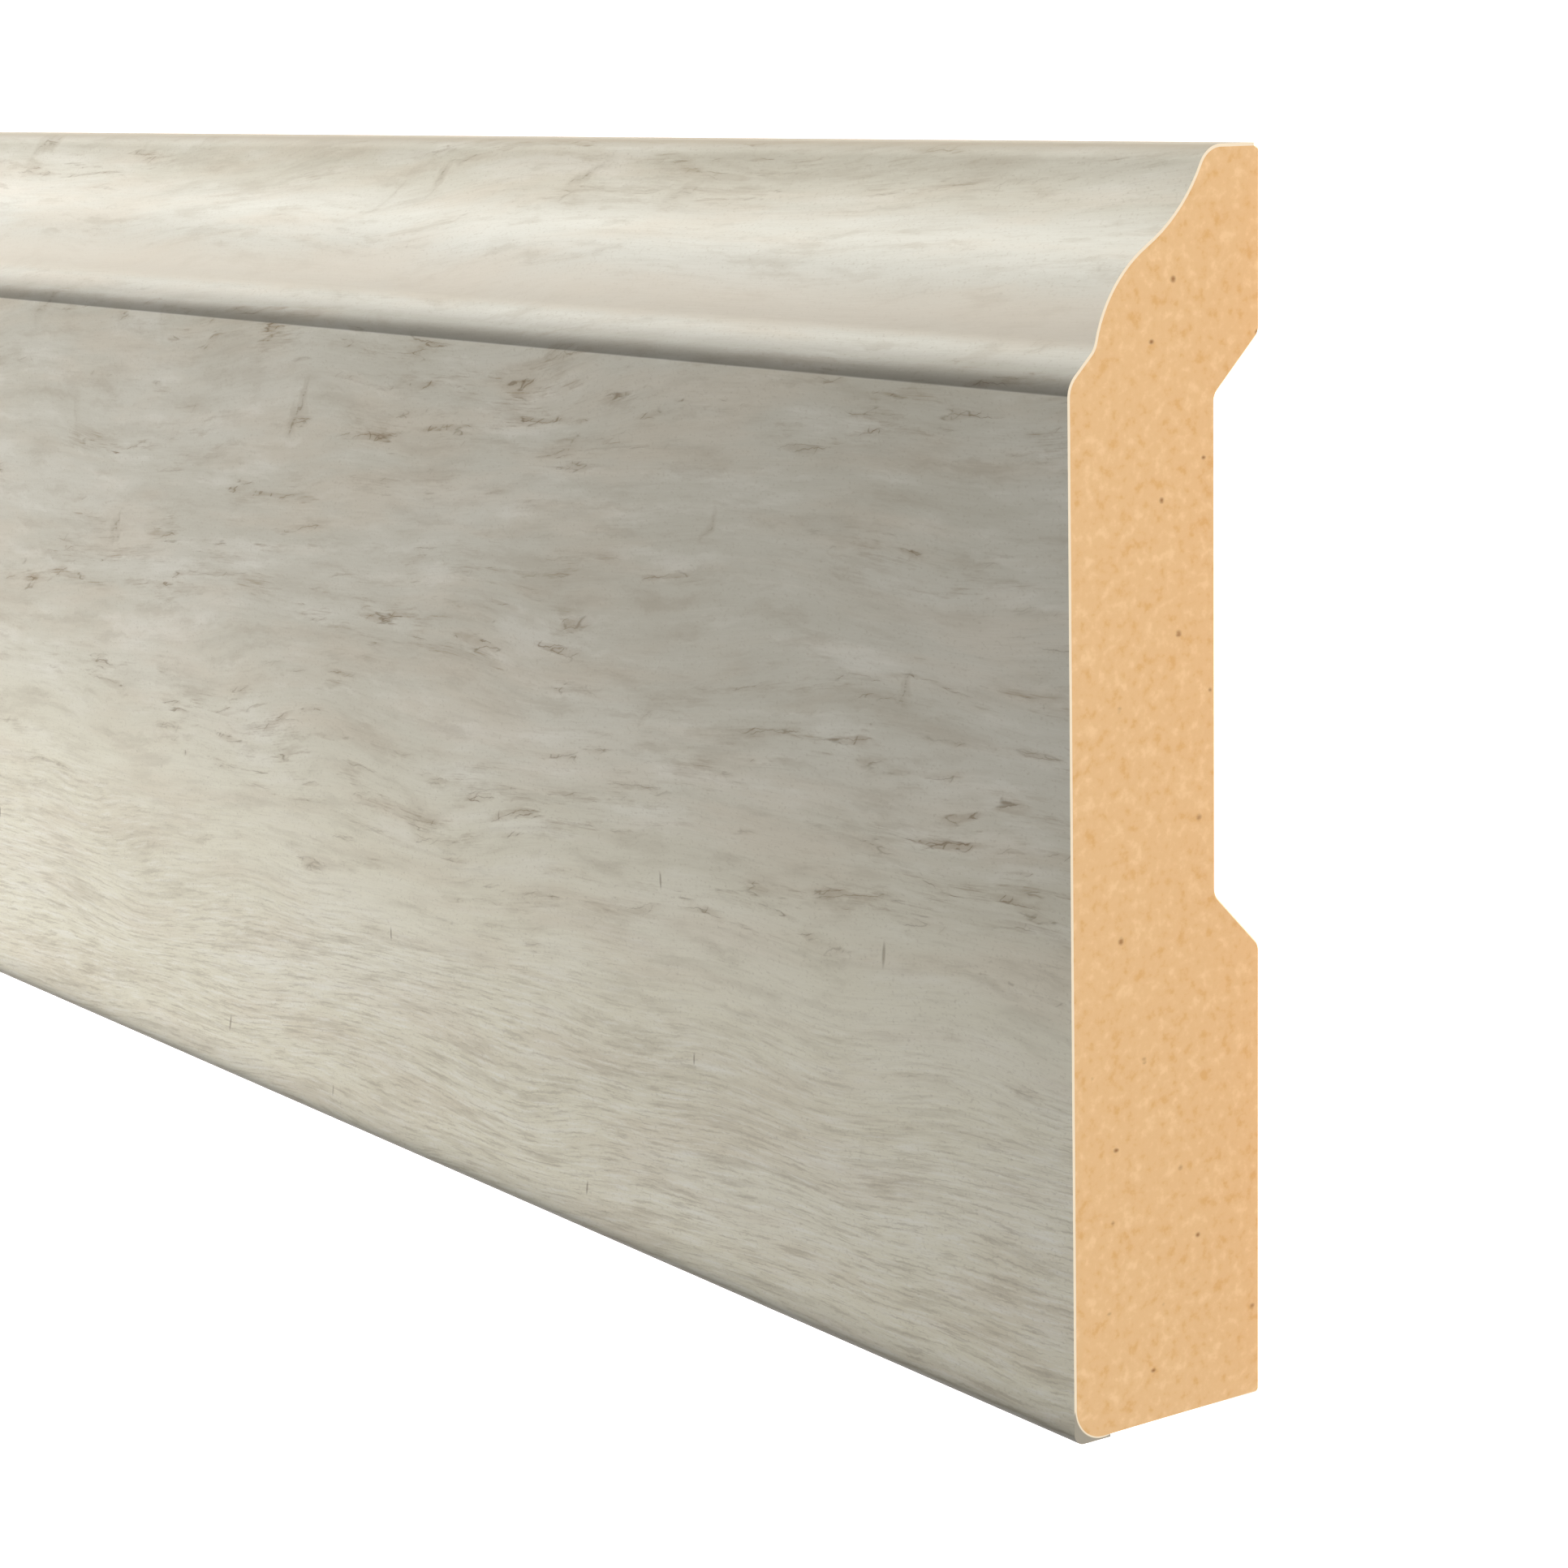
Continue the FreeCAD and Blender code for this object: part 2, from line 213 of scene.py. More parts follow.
def arc(centre, radius, first, last, easing=0.0):
    """Points along a round, each with its twin on the eased outline, between two angles.

    Easing is positive on a convex round, which it makes smaller, and negative in a hollow.
    """
    steps = max(1, math.ceil(math.degrees(abs(last - first)) / ARC_STEP))
    pairs = []
    for k in range(steps + 1):
        turn = first + (last - first) * k / steps
        outward = Vector((math.cos(turn), math.sin(turn)))
        pairs.append((centre + outward * radius, centre + outward * (radius - easing)))
    return pairs


def corner(across, rise):
    """A sharp point of an outline, which isn't eased."""
    return [(Vector((across, rise)), Vector((across, rise)))]


def bearing(start, end):
    """The angle of the line from one point to another."""
    return math.atan2(end.y - start.y, end.x - start.x)


def decor_side(sizes, depth, foot_radius):
    """The rounds of the moulded side, at a depth below the decor, from the foot to the top.

    Each arc of the ogee keeps its centre at every depth, so the layers run parallel.
    """
    half = sizes.board_height / 2
    face = sizes.board_thickness
    quarter = math.radians(90)

    foot_centre = Vector((depth + foot_radius - half, face - depth - foot_radius))
    lip_centre = Vector((half - sizes.lip_drop, face - sizes.lip_radius))
    lip_bend = sizes.lip_radius - depth
    belly_centre = Vector((half - sizes.belly_drop,
                           face - sizes.belly_setback - sizes.belly_radius))
    belly_bend = sizes.belly_radius - depth
    quirk_bend = sizes.quirk_radius + depth
    hollow_bend = sizes.hollow_radius + depth
    nosing_centre = Vector((half - sizes.nosing_radius, face - sizes.nosing_setback))
    nosing_bend = sizes.nosing_radius - depth

    # the quirk touches the lip's slope on one side and the belly on the other
    slope = Vector((math.cos(sizes.lip_angle), -math.sin(sizes.lip_angle)))
    outward = Vector((-slope.y, slope.x))
    lip_end = lip_centre + outward * lip_bend
    to_belly = belly_centre - lip_end
    rise = quirk_bend - to_belly.dot(outward)
    reach = math.sqrt((belly_bend + quirk_bend) ** 2 - rise ** 2)
    quirk_centre = lip_end + slope * (to_belly.dot(slope) - reach) + outward * quirk_bend
    belly_first = bearing(belly_centre, quirk_centre)

    # the hollow touches the belly on one side and the nosing on the other
    span = nosing_centre - belly_centre
    belly_reach = belly_bend + hollow_bend
    nosing_reach = nosing_bend + hollow_bend
    opening = math.acos((belly_reach ** 2 + span.length_squared - nosing_reach ** 2)
                        / (2 * belly_reach * span.length))
    belly_last = bearing(belly_centre, nosing_centre) + opening
    hollow_centre = belly_centre + belly_reach * Vector((math.cos(belly_last),
                                                         math.sin(belly_last)))
    nosing_first = bearing(nosing_centre, hollow_centre)
    lip_last = quarter - sizes.lip_angle
    return {
        "foot": arc(foot_centre, foot_radius, 2 * quarter, quarter),
        "lip": arc(lip_centre, lip_bend, quarter, lip_last),
        "quirk": arc(quirk_centre, quirk_bend, lip_last + math.pi, belly_first + math.pi),
        "belly": arc(belly_centre, belly_bend, belly_first, belly_last),
        "hollow": arc(hollow_centre, hollow_bend, belly_last + math.pi, nosing_first + math.pi),
        "nosing": arc(nosing_centre, nosing_bend, nosing_first, 0.0),
    }


def core_outline(sizes):
    """The core's section: the moulded side under the wrap, and the back with its relief."""
    half = sizes.board_height / 2
    quarter = math.radians(90)
    arris = sizes.back_arris_radius
    bend = sizes.relief_radius
    turn = sizes.relief_wall_angle
    easing = sizes.sawn_easing
    depth = sizes.relief_depth
    wall_run = (depth - 2 * bend * (1 - math.cos(turn))) / math.tan(turn)
    corner_run = 2 * bend * math.sin(turn) + wall_run
    lower_edge = sizes.lower_pad_width - half
    upper_edge = half - sizes.upper_pad_width
    side = half - sizes.wrap_thickness - arris
    rounds = decor_side(sizes, sizes.wrap_thickness, sizes.core_foot_radius)
    # the sawn edge is eased only where no wrap covers it
    rounds["margin"] = corner(side + arris, sizes.wrap_back_margin)
    rounds["upper_arris"] = arc(Vector((side, arris)), arris, 0.0, -quarter, easing)
    rounds["upper_edge"] = arc(Vector((upper_edge, bend)), bend, -quarter, -quarter - turn, easing)
    rounds["upper_corner"] = arc(Vector((upper_edge - corner_run, depth - bend)), bend,
                                 quarter - turn, quarter, -easing)
    rounds["lower_corner"] = arc(Vector((lower_edge + corner_run, depth - bend)), bend,
                                 quarter, quarter + turn, -easing)
    rounds["lower_edge"] = arc(Vector((lower_edge, bend)), bend, turn - quarter, -quarter, easing)
    rounds["lower_arris"] = arc(Vector((-side, arris)), arris, -quarter, -2 * quarter, easing)
    rounds["return_end"] = corner(-side - arris, sizes.board_thickness - sizes.wrap_return)
    return rounds


def wrap_outline(sizes):
    """The wrap's section: its decor surface, and back along the core's surface."""
    half = sizes.board_height / 2
    depth = sizes.wrap_thickness
    turned_under = sizes.board_thickness - sizes.wrap_return
    margin = sizes.wrap_back_margin
    rounds = {"return_end": corner(-half, turned_under)}
    rounds.update(decor_side(sizes, 0.0, sizes.wrap_foot_radius))
    rounds["margin"] = corner(half, margin)
    rounds["under_margin"] = corner(half - depth, margin)
    under = decor_side(sizes, depth, sizes.core_foot_radius)
    for name in reversed(under):
        rounds["under_" + name] = under[name][::-1]
    rounds["under_return_end"] = corner(depth - half, turned_under)
    return rounds


def straight(start, end):
    """Points between two places of an outline, ends left out, each with its eased twin."""
    steps = max(1, round((end[0] - start[0]).length / STRAIGHT_STEP))
    return [tuple(a.lerp(b, k / steps) for a, b in zip(start, end)) for k in range(1, steps)]


def join_rounds(rounds):
    """Join an outline's rounds by straights, and measure round it from the end of the foot.

    Returns the pairs of points, how far round each lies, and for each round how far round it
    starts and ends.
    """
    pairs = []
    ends = {}
    for name, run in rounds.items():
        if pairs:
            before = pairs[-1]
            if (run[0][0] - before[0]).length < SAME_PLACE:
                pairs.pop()
            pairs.extend(straight(before, run[0]))
        first = len(pairs)
        pairs.extend(run)
        ends[name] = (first, len(pairs) - 1)
    if (pairs[0][0] - pairs[-1][0]).length < SAME_PLACE:
        raise RuntimeError("an outline ends where it starts, and would hold one point twice")
    pairs.extend(straight(pairs[-1], pairs[0]))

    girths = [0.0]
    for before, at in zip(pairs, pairs[1:]):
        girths.append(girths[-1] + (at[0] - before[0]).length)
    start = girths[ends["foot"][1]]
    girths = [girth - start for girth in girths]
    marks = {name: (girths[first], girths[last]) for name, (first, last) in ends.items()}
    return pairs, girths, marks


def outline_mesh(name, pairs, girths):
    """A closed ring of edges in its own plane, with the eased twin and the girth of each point."""
    ring = bpy.data.meshes.new(name)
    count = len(pairs)
    ring.from_pydata([(at.x, at.y, 0.0) for at, _ in pairs],
                     [(k, (k + 1) % count) for k in range(count)], [])
    eased = ring.attributes.new("eased", "FLOAT_VECTOR", "POINT")
    eased.data.foreach_set("vector", [c for _, twin in pairs for c in (twin.x, twin.y, 0.0)])
    girth = ring.attributes.new("girth", "FLOAT", "POINT")
    girth.data.foreach_set("value", girths)
    return ring


def swept_skin(tree, given, half_length, position, twin):
    """The side of the piece: the outline run along the board, with the print's map on it."""
    # a grid with a row for each point of the outline, and one more that closes it
    outline = given["Outline"]
    points = add(tree, "GeometryNodeAttributeDomainSize", {0: outline})
    rows = add(tree, "FunctionNodeIntegerMath", {0: points, 1: 1}, operation="ADD")
    stations = add(tree, "FunctionNodeIntegerMath", {0: given["Spans"], 1: 3}, operation="ADD")
    grid = add(tree, "GeometryNodeMeshGrid", {"Vertices X": rows, "Vertices Y": stations})
    index = add(tree, "GeometryNodeInputIndex", {})
    row = add(tree, "FunctionNodeIntegerMath", {0: index, 1: stations}, operation="DIVIDE_FLOOR")
    station = add(tree, "FunctionNodeIntegerMath", {0: index, 1: stations}, operation="MODULO")
    point = add(tree, "FunctionNodeIntegerMath", {0: row, 1: points}, operation="MODULO")

    # stations run from -1 to 1 between the eased bands, which the two outer stations end
    last_inner = add(tree, "FunctionNodeIntegerMath", {0: given["Spans"], 1: 1}, operation="ADD")
    share = add(tree, "ShaderNodeMapRange", {"Value": station, "From Min": 1.0,
                                             "From Max": last_inner, "To Min": -1.0})
    from_start = add(tree, "FunctionNodeCompare", {2: station, 3: 0}, data_type="INT",
                     operation="EQUAL")
    from_last = add(tree, "FunctionNodeCompare", {2: station, 3: last_inner}, data_type="INT",
                    operation="GREATER_THAN")
    at_end = add(tree, "FunctionNodeBooleanMath", {0: from_start, 1: from_last}, operation="OR")
    inset = add(tree, "ShaderNodeMath", {0: half_length, 1: given["Easing"]}, operation="SUBTRACT")
    reach = add(tree, "ShaderNodeMix", {0: at_end, NUMBER_A: inset, NUMBER_B: half_length},
                data_type="FLOAT")
    along = add(tree, "ShaderNodeMath", {0: share, 1: reach}, operation="MULTIPLY")

    # each vertex takes its place in the section from the outline
    girth = add(tree, "GeometryNodeInputNamedAttribute", {"Name": "girth"}, data_type="FLOAT")
    full_at = add(tree, "GeometryNodeSampleIndex", {0: outline, 1: position, 2: point},
                  data_type="FLOAT_VECTOR")
    eased_at = add(tree, "GeometryNodeSampleIndex", {0: outline, 1: twin, 2: point},
                   data_type="FLOAT_VECTOR")
    girth_at = add(tree, "GeometryNodeSampleIndex", {0: outline, 1: girth, 2: point},
                   data_type="FLOAT")
    section_at = add(tree, "ShaderNodeMix", {0: at_end, VECTOR_A: full_at, VECTOR_B: eased_at},
                     out=VECTOR_RESULT, data_type="VECTOR")
    split = add(tree, "ShaderNodeSeparateXYZ", {0: section_at}).node
    placed = add(tree, "ShaderNodeCombineXYZ",
                 {0: along, 1: split.outputs[0], 2: split.outputs[1]})
    skin = add(tree, "GeometryNodeSetPosition", {0: grid, "Position": placed})

    # the print's map: metres along the board, and metres round the section
    print_at = add(tree, "ShaderNodeCombineXYZ", {0: along, 1: girth_at})
    on_points = add(tree, "GeometryNodeFieldOnDomain", {0: print_at}, domain="POINT",
                    data_type="FLOAT_VECTOR")
    mapped = add(tree, "GeometryNodeStoreNamedAttribute",
                 {0: skin, "Name": PRINT_MAP, "Value": on_points},
                 data_type="FLOAT2", domain="CORNER")
    return add(tree, "GeometryNodeFlipFaces", {0: mapped})


def sawn_ends(tree, outline, half_length, position, twin):
    """The two ends: the eased outline filled, turned to face along the board, and marked."""
    curve = add(tree, "GeometryNodeMeshToCurve", {0: outline})
    eased_curve = add(tree, "GeometryNodeSetPosition", {0: curve, "Position": twin})
    filled = add(tree, "GeometryNodeFillCurve", {0: eased_curve}, mode="TRIANGLES")
    marked = add(tree, "GeometryNodeStoreNamedAttribute",
                 {0: filled, "Name": SAWN_FACES, "Value": True},
                 data_type="BOOLEAN", domain="FACE")
    flat = add(tree, "ShaderNodeSeparateXYZ", {0: position}).node
    minus_half = add(tree, "ShaderNodeMath", {0: half_length, 1: -1.0}, operation="MULTIPLY")
    ends = []
    for along in (half_length, minus_half):
        placed = add(tree, "ShaderNodeCombineXYZ",
                     {0: along, 1: flat.outputs[0], 2: flat.outputs[1]})
        ends.append(add(tree, "GeometryNodeSetPosition", {0: marked, "Position": placed}))
    near, far = ends
    return near, add(tree, "GeometryNodeFlipFaces", {0: far})


def section_sweep():
    """The node tree that runs an outline along the board and closes it with two sawn ends."""
    tree = bpy.data.node_groups.new("section_sweep", "GeometryNodeTree")
    for name, kind in (("Outline", "NodeSocketGeometry"), ("Length", "NodeSocketFloat"),
                       ("Easing", "NodeSocketFloat"), ("Spans", "NodeSocketInt"),
                       ("Skin", "NodeSocketMaterial"), ("Sawn end", "NodeSocketMaterial")):
        tree.interface.new_socket(name=name, in_out="INPUT", socket_type=kind)
    tree.interface.new_socket(name="Piece", in_out="OUTPUT", socket_type="NodeSocketGeometry")
    given = {socket.name: socket for socket in tree.nodes.new("NodeGroupInput").outputs}
    half_length = add(tree, "ShaderNodeMath", {0: given["Length"], 1: 0.5}, operation="MULTIPLY")
    position = add(tree, "GeometryNodeInputPosition", {})
    twin = add(tree, "GeometryNodeInputNamedAttribute", {"Name": "eased"},
               data_type="FLOAT_VECTOR")

    joined = tree.nodes.new("GeometryNodeJoinGeometry")
    for part in (swept_skin(tree, given, half_length, position, twin),
                 *sawn_ends(tree, given["Outline"], half_length, position, twin)):
        tree.links.new(part, joined.inputs[0])
    closed = add(tree, "GeometryNodeMergeByDistance",
                 {0: joined.outputs[0], "Distance": SAME_PLACE})
    smooth = add(tree, "GeometryNodeSetShadeSmooth", {0: closed, "Shade Smooth": True},
                 domain="FACE")
    angle = add(tree, "GeometryNodeInputMeshEdgeAngle", {})
    sharp = add(tree, "FunctionNodeCompare", {0: angle, 1: SHARP_ANGLE}, data_type="FLOAT",
                operation="GREATER_THAN")
    creased = add(tree, "GeometryNodeSetShadeSmooth",
                  {0: smooth, "Selection": sharp, "Shade Smooth": False}, domain="EDGE")
    sawn = add(tree, "GeometryNodeInputNamedAttribute", {"Name": SAWN_FACES}, data_type="BOOLEAN")
    realized = add(tree, "GeometryNodeRealizeInstances", {0: creased})
    skinned = add(tree, "GeometryNodeSetMaterial", {0: realized, "Material": given["Skin"]})
    finished = add(tree, "GeometryNodeSetMaterial",
                   {0: skinned, "Selection": sawn, "Material": given["Sawn end"]})
    add(tree, "NodeGroupOutput", {0: finished})
    return tree


def swept_piece(name, rounds, sizes, skin, sawn_end):
    """One board-long piece as a plain mesh, from its outline's rounds and its two materials."""
    pairs, girths, _ = join_rounds(rounds)
    ring = outline_mesh(name + "_outline", pairs, girths)
    piece = bpy.data.objects.new(name, ring)
    bpy.context.scene.collection.objects.link(piece)
    tree = bpy.data.node_groups.get("section_sweep") or section_sweep()
    sweep = piece.modifiers.new("sweep", "NODES")
    sweep.node_group = tree
    given = {"Length": sizes.board_length, "Easing": sizes.sawn_easing, "Spans": sizes.spans,
             "Skin": skin, "Sawn end": sawn_end}
    for item in tree.interface.items_tree:
        if item.name in given:
            sweep[item.identifier] = given[item.name]
    evaluated = piece.evaluated_get(bpy.context.evaluated_depsgraph_get())
    mesh = bpy.data.meshes.new_from_object(evaluated)
    piece.modifiers.clear()
    piece.data = mesh
    mesh.name = name
    # joining parts without a material leaves an empty first slot
    mesh.materials.pop(index=0)
    bpy.data.meshes.remove(ring)
    if len(mesh.polygons) < len(pairs):
        raise RuntimeError("%s was not swept" % name)
    return piece


def new_material(name, finish):
    """A material with only its shader, on whose sockets the values of its finish are set."""
    material = bpy.data.materials.new(name)
    material.use_nodes = True
    tree = material.node_tree
    shader = tree.nodes["Principled BSDF"]
    for socket, value in finish.items():
        shader.inputs[socket].default_value = value
    return material, tree, shader


def print_place(tree):
    """Place on the print in millimetres: along the board, and round its section."""
    mapped = add(tree, "ShaderNodeUVMap", {}, uv_map=PRINT_MAP)
    return add(tree, "ShaderNodeVectorMath", {0: mapped, 1: (PER_METRE, PER_METRE, 0)},
               operation="MULTIPLY")


def board_place(tree):
    """Place in the board in millimetres."""
    here = add(tree, "ShaderNodeTexCoord", {}, out="Object")
    return add(tree, "ShaderNodeVectorMath", {0: here, "Scale": PER_METRE}, operation="SCALE")


def cloud(tree, place, size, seed, detail=4.0, roughness=0.5):
    """Cloudy variation from 0 to 1 whose clouds have a size in millimetres on each axis."""
    scaled = add(tree, "ShaderNodeMapping",
                 {"Vector": place, "Location": (seed * 7.31, seed * 3.77, seed * 1.93),
                  "Scale": tuple(1 / s for s in size)})
    return add(tree, "ShaderNodeTexNoise",
               {"Vector": scaled, "Scale": 1.0, "Detail": detail, "Roughness": roughness})


def ragged(tree, place, size, reach, seed):
    """The same place pushed about by fine noise, so that what is drawn on it turns ragged."""
    scaled = add(tree, "ShaderNodeMapping", {"Vector": place, "Location": (seed, seed, seed),
                                             "Scale": (1 / size, 1 / size, 1)})
    noise = add(tree, "ShaderNodeTexNoise", {"Vector": scaled, "Scale": 1.0, "Detail": 3.0}, "Color")
    centred = add(tree, "ShaderNodeVectorMath", {0: noise, 1: (0.5, 0.5, 0.5)},
                  operation="SUBTRACT")
    return add(tree, "ShaderNodeVectorMath", {0: centred, 1: (reach, reach, 0), 2: place},
               operation="MULTIPLY_ADD")


def scattered_marks(tree, place, cell, turn, spread, seed):
    """A loose scatter of short marks, one in each cell, each turned its own way.

    Returns the place from each mark's middle, along and across the mark, in millimetres, and a
    random number from 0 to 1 for the mark.
    """
    scale = (1 / cell[0], 1 / cell[1], 1)
    scaled = add(tree, "ShaderNodeMapping", {"Vector": place, "Scale": scale,
                                             "Location": (seed * 5.3, seed * 2.9, 0)})
    cells = add(tree, "ShaderNodeTexVoronoi", {"Vector": scaled, "Scale": 1.0,
                                               "Randomness": 0.85}, voronoi_dimensions="2D").node
    apart = add(tree, "ShaderNodeVectorMath", {0: scaled, 1: cells.outputs["Position"]},
                operation="SUBTRACT")
    from_middle = add(tree, "ShaderNodeVectorMath", {0: apart, 1: (cell[0], cell[1], 0)},
                      operation="MULTIPLY")
    random = add(tree, "ShaderNodeSeparateColor", {0: cells.outputs["Color"]}).node
    angle = add(tree, "ShaderNodeMapRange", {"Value": random.outputs[0],
                                             "To Min": -turn - spread, "To Max": spread - turn})
    turned = add(tree, "ShaderNodeVectorRotate", {"Vector": from_middle, "Angle": angle},
                 rotation_type="Z_AXIS")
    # marks come in all sizes down to under half of the largest
    shrink = add(tree, "ShaderNodeMapRange", {"Value": random.outputs[2], "To Min": 1.0,
                                              "To Max": 2.4})
    sized = add(tree, "ShaderNodeVectorMath", {0: turned, "Scale": shrink}, operation="SCALE")
    return sized, random.outputs[1]


def away_from_middle(tree, turned, length, width):
    """How far out of a mark a place lies: 0 in its middle, and 1 at its ends and sides."""
    shape = add(tree, "ShaderNodeVectorMath", {0: turned, 1: (2 / length, 2 / width, 0)},
                operation="MULTIPLY")
    return add(tree, "ShaderNodeVectorMath", {0: shape}, out="Value", operation="LENGTH")


def off_level(tree, field, level):
    """How far a field is off a level, above or below: its lines lie where this is nought."""
    apart = add(tree, "ShaderNodeMath", {0: field, 1: level}, operation="SUBTRACT")
    return add(tree, "ShaderNodeMath", {0: apart}, operation="ABSOLUTE")


def share_of(tree, field, low, high, most=1.0, within=()):
    """How far a field has gone from low to high, eased, up to a most, and only within masks."""
    share = add(tree, "ShaderNodeMapRange", {"Value": field, "From Min": low, "From Max": high,
                                             "To Max": most}, interpolation_type="SMOOTHSTEP")
    for mask in within:
        share = add(tree, "ShaderNodeMath", {0: share, 1: mask}, operation="MULTIPLY")
    return share


class Coats:
    """The pigments of a material, each laid over the ones before it."""

    def __init__(self, tree, ground):
        self.tree = tree
        self.colour = ground

    def lay(self, pigment, field, low, high, most=1.0, within=()):
        """Lay a pigment by how far a field has gone from low to high, up to a most."""
        share = share_of(self.tree, field, low, high, most, within)
        self.colour = add(self.tree, "ShaderNodeMix",
                          {0: share, COLOUR_A: self.colour, COLOUR_B: pigment},
                          out=COLOUR_RESULT, data_type="RGBA")


def climbing_grain(tree, place):
    """The print's place along and across its grain, which climbs to the near end and wanders."""
    climb = 0.065
    wander = 6.0
    split = add(tree, "ShaderNodeSeparateXYZ", {0: place}).node
    sway = cloud(tree, place, (36, 15, 1), 1, detail=1)
    swayed = add(tree, "ShaderNodeMath", {0: sway, 1: wander, 2: split.outputs[1]},
                 operation="MULTIPLY_ADD")
    climbed = add(tree, "ShaderNodeMath", {0: split.outputs[0], 1: -climb, 2: swayed},
                  operation="MULTIPLY_ADD")
    return add(tree, "ShaderNodeCombineXYZ", {0: split.outputs[0], 1: climbed})


def print_zones(tree, place, rise, marks):
    """Masks of the weathered face, of the combed grain near the foot, and of the belly's painted
    highlight.
    """
    # the combed grain gives way to the weathered face some 20 mm up, by a ragged margin
    raggedness = 26.0
    margin = cloud(tree, place, (40, 12, 1), 2, detail=5, roughness=0.6)
    margin_rise = add(tree, "ShaderNodeMath", {0: margin, 1: raggedness, 2: rise},
                      operation="MULTIPLY_ADD")
    over_margin = share_of(tree, margin_rise, 22.0, 44.0)
    under_margin = add(tree, "ShaderNodeMath", {0: 1.0, 1: over_margin}, operation="SUBTRACT")
    combed = share_of(tree, under_margin, 0.15, 1.0)
    # the belly is painted pale and smooth as a highlight, with few marks left on it
    marks_lost = 0.75
    over_quirk = share_of(tree, rise, marks["lip"][0] + 0.8, marks["quirk"][1] - 1.2)
    belly = share_of(tree, rise, marks["hollow"][1] - 1.5, marks["belly"][1] - 1.0,
                     within=[over_quirk])
    weathered = add(tree, "ShaderNodeMath", {0: belly, 1: -marks_lost, 2: over_margin},
                    operation="MULTIPLY_ADD", use_clamp=True)
    return weathered, combed, belly


def lay_broad_tones(coats, look, grain, rise, belly, belly_end):
    """Plain grain near the foot, a pale belly as a painted highlight, a warmer blush here and there,
    and slow clouds.
    """
    coats.lay(look.combed, rise, 46.0, 16.0)
    coats.lay(look.combed, rise, belly_end, belly_end + 4.0, 0.25)
    # painted highlight on the belly
    coats.lay(look.belly, belly, 0.0, 1.0)
    blush = cloud(coats.tree, grain, (18, 3, 1), 6, detail=5)
    coats.lay(look.blush, blush, 0.42, 0.70, 0.34)
    slow = cloud(coats.tree, grain, (45, 9, 1), 3)
    coats.lay(look.limewash, slow, 0.45, 0.70, 0.16)
    coats.lay(look.bare, slow, 0.52, 0.28, 0.12)


def lay_smears(coats, look, grain, weathered, belly):
    """Smears of whitewash and of bare wood, torn along the grain. Returns the bare patches."""
    torn = ragged(coats.tree, grain, 1.6, 0.9, 10)
    smear = cloud(coats.tree, torn, (15, 2.4, 1), 4, detail=5, roughness=0.6)
    coats.lay(look.limewash, smear, 0.50, 0.70, 0.24, [weathered])
    coats.lay(look.bare, smear, 0.50, 0.30, 0.30, [weathered])
    patch = cloud(coats.tree, torn, (8.0, 1.4, 1), 5, detail=5, roughness=0.6)
    coats.lay(look.bare, patch, 0.52, 0.70, 0.30, [weathered])
    # on the belly's painted highlight the same patches show thinly
    coats.lay(look.bare, patch, 0.50, 0.72, 0.24, [belly])
    return patch


def lay_fibres(coats, look, grain):
    """Long fibres of the wood. Returns the coarse ones and the fine ones."""
    coarse = cloud(coats.tree, grain, (10, 0.7, 1), 7, detail=5, roughness=0.6)
    coats.lay(look.bare, coarse, 0.52, 0.78, 0.20)
    fine = cloud(coats.tree, grain, (3.6, 0.17, 1), 8, detail=4, roughness=0.65)
    coats.lay(look.bare, fine, 0.52, 0.78, 0.20)
    coats.lay(look.limewash, fine, 0.48, 0.22, 0.10)
    return coarse, fine


def lay_streaks(coats, look, grain, rise, weathered, patch, marks):
    """Fine dark streaks in some of the bare patches. Returns the mask of the rows they are in."""
    tree = coats.tree
    row = cloud(tree, grain, (30, 4.0, 1), 9, detail=3)
    # the ogee has fewer of them
    fewer = add(tree, "ShaderNodeMapRange",
                {"Value": rise, "From Min": marks["lip"][0], "From Max": marks["quirk"][1],
                 "To Min": 1.0, "To Max": 0.75})
    crowded = share_of(tree, row, 0.44, 0.60, within=[weathered, fewer])
    in_patch = share_of(tree, patch, 0.48, 0.62, within=[crowded])
    streak = cloud(tree, grain, (3.4, 0.16, 1), 11, detail=3, roughness=0.6)
    coats.lay(look.streak, streak, 0.48, 0.72, 0.44, [in_patch])
    return crowded


def lay_cracks(coats, look, grain, rough_place, crowded):
    """Broken lines that lie along the grain or climb over it to the near end, with brown sides."""
    tree = coats.tree
    run = cloud(tree, grain, (7.5, 1.1, 1), 13, detail=3)
    split = add(tree, "ShaderNodeSeparateXYZ", {0: rough_place}).node
    for slope, size, level, width, most, least in (
            (0.0, (20.0, 1.5, 1), 0.50, 0.012, 0.62, 0.54),
            (-0.16, (13.0, 1.8, 1), 0.55, 0.013, 0.64, 0.53),
            (-0.5, (9.0, 3.0, 1), 0.52, 0.010, 0.72, 0.59)):
        leaned = add(tree, "ShaderNodeMath", {0: split.outputs[0], 1: slope, 2: split.outputs[1]},
                     operation="MULTIPLY_ADD")
        leaning = add(tree, "ShaderNodeCombineXYZ", {0: split.outputs[0], 1: leaned})
        seam = cloud(tree, leaning, size, 12 + 10 * slope, detail=2)
        kept = share_of(tree, run, least, least + 0.10, within=[crowded])
        apart = off_level(tree, seam, level)
        coats.lay(look.streak, apart, 9.0 * width, 0.0, 0.22, [kept])
        coats.lay(look.crack, apart, width, 0.0, most, [kept])


